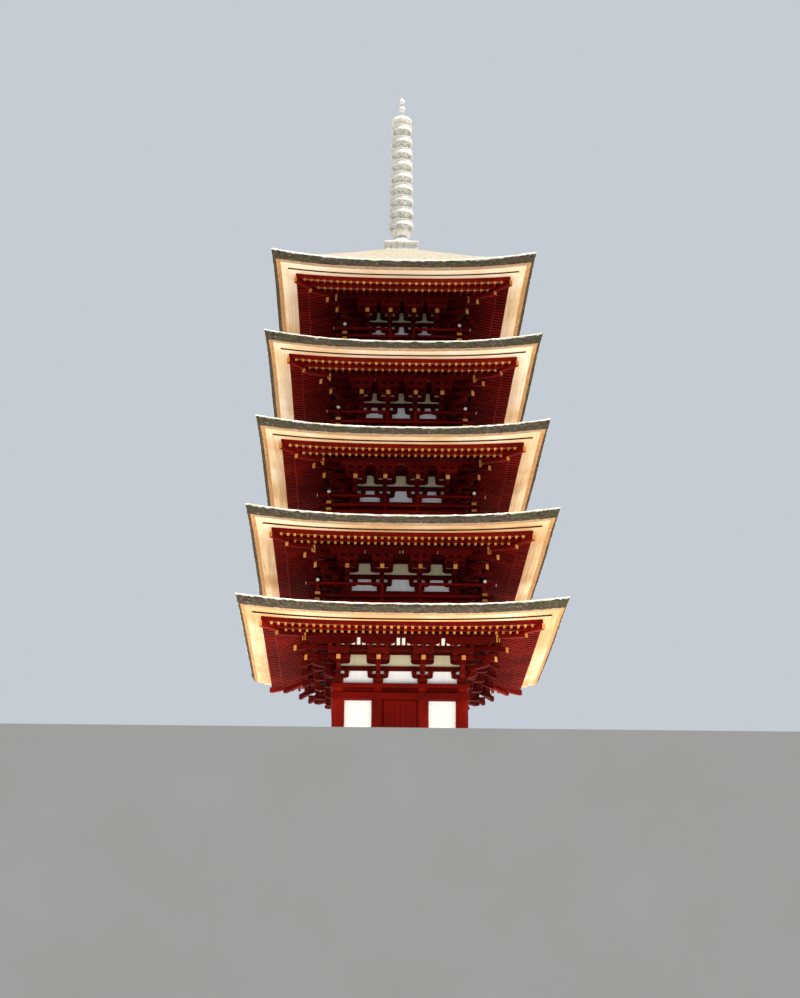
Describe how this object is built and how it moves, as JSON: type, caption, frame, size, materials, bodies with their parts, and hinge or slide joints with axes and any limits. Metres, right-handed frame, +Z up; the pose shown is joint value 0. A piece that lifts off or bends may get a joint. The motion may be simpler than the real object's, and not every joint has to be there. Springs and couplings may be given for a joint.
{
  "type": "pagoda",
  "caption": "Slender square timber pagoda with upswept bark roofs on stepped brackets, railed upper decks, plank doors that open, and a tall bronze finial, standing on a low stone podium.",
  "frame": {"origin": "Centre of the podium's underside, at ground level.", "axes": "+Z up, -Y towards the front with the doors that open, +X to the right of someone who faces the front."},
  "size_m": [6.42, 6.42, 16.45],
  "materials": {
    "stone": "rough",
    "vermilion_timber": "painted",
    "lime_plaster": "smooth matte",
    "cypress_bark": "rough",
    "aged_timber": "bare",
    "cast_bronze": "weathered"
  },
  "bodies": {
    "tower": {"podium": "stone", "ground_floor": "aged_timber", "heart_pillar": "aged_timber", "front_frame": "vermilion_timber", "right_frame": "vermilion_timber", "back_frame": "vermilion_timber", "left_frame": "vermilion_timber", "front_left_wall": "lime_plaster", "front_right_wall": "lime_plaster", "back_right_wall": "lime_plaster", "back_left_wall": "lime_plaster", "right_side_door": "vermilion_timber", "back_door": "vermilion_timber", "left_side_door": "vermilion_timber", "storey_1_wall_core": "lime_plaster", "storey_1_brackets": "vermilion_timber", "storey_1_eaves": "vermilion_timber", "storey_1_roof": "cypress_bark", "storey_2_wall_core": "lime_plaster", "storey_2_frame": "vermilion_timber", "storey_2_eaves": "vermilion_timber", "storey_2_roof": "cypress_bark", "storey_2_railing": "vermilion_timber", "storey_3_wall_core": "lime_plaster", "storey_3_frame": "vermilion_timber", "storey_3_eaves": "vermilion_timber", "storey_3_roof": "cypress_bark", "storey_3_railing": "vermilion_timber", "storey_4_wall_core": "lime_plaster", "storey_4_frame": "vermilion_timber", "storey_4_eaves": "vermilion_timber", "storey_4_roof": "cypress_bark", "storey_4_railing": "vermilion_timber", "storey_5_wall_core": "lime_plaster", "storey_5_frame": "vermilion_timber", "storey_5_eaves": "vermilion_timber", "storey_5_roof": "cypress_bark", "storey_5_railing": "vermilion_timber", "finial_basin": "cast_bronze", "finial_bowl_and_lotus": "cast_bronze", "finial_nine_rings": "cast_bronze", "finial_canopy_and_jewel": "cast_bronze"},
    "left_leaf": {"left_door_leaf": "vermilion_timber"},
    "right_leaf": {"right_door_leaf": "vermilion_timber"}
  },
  "joints": [
    {"name": "left_leaf_hinge", "type": "hinge", "parent": "tower", "child": "left_leaf", "pos_m": [-0.315, -1.31, 1.38], "axis": [0, 0, -1], "range_deg": [0, 95]},
    {"name": "right_leaf_hinge", "type": "hinge", "parent": "tower", "child": "right_leaf", "pos_m": [0.315, -1.31, 1.38], "axis": [0, 0, 1], "range_deg": [0, 95]}
  ]
}
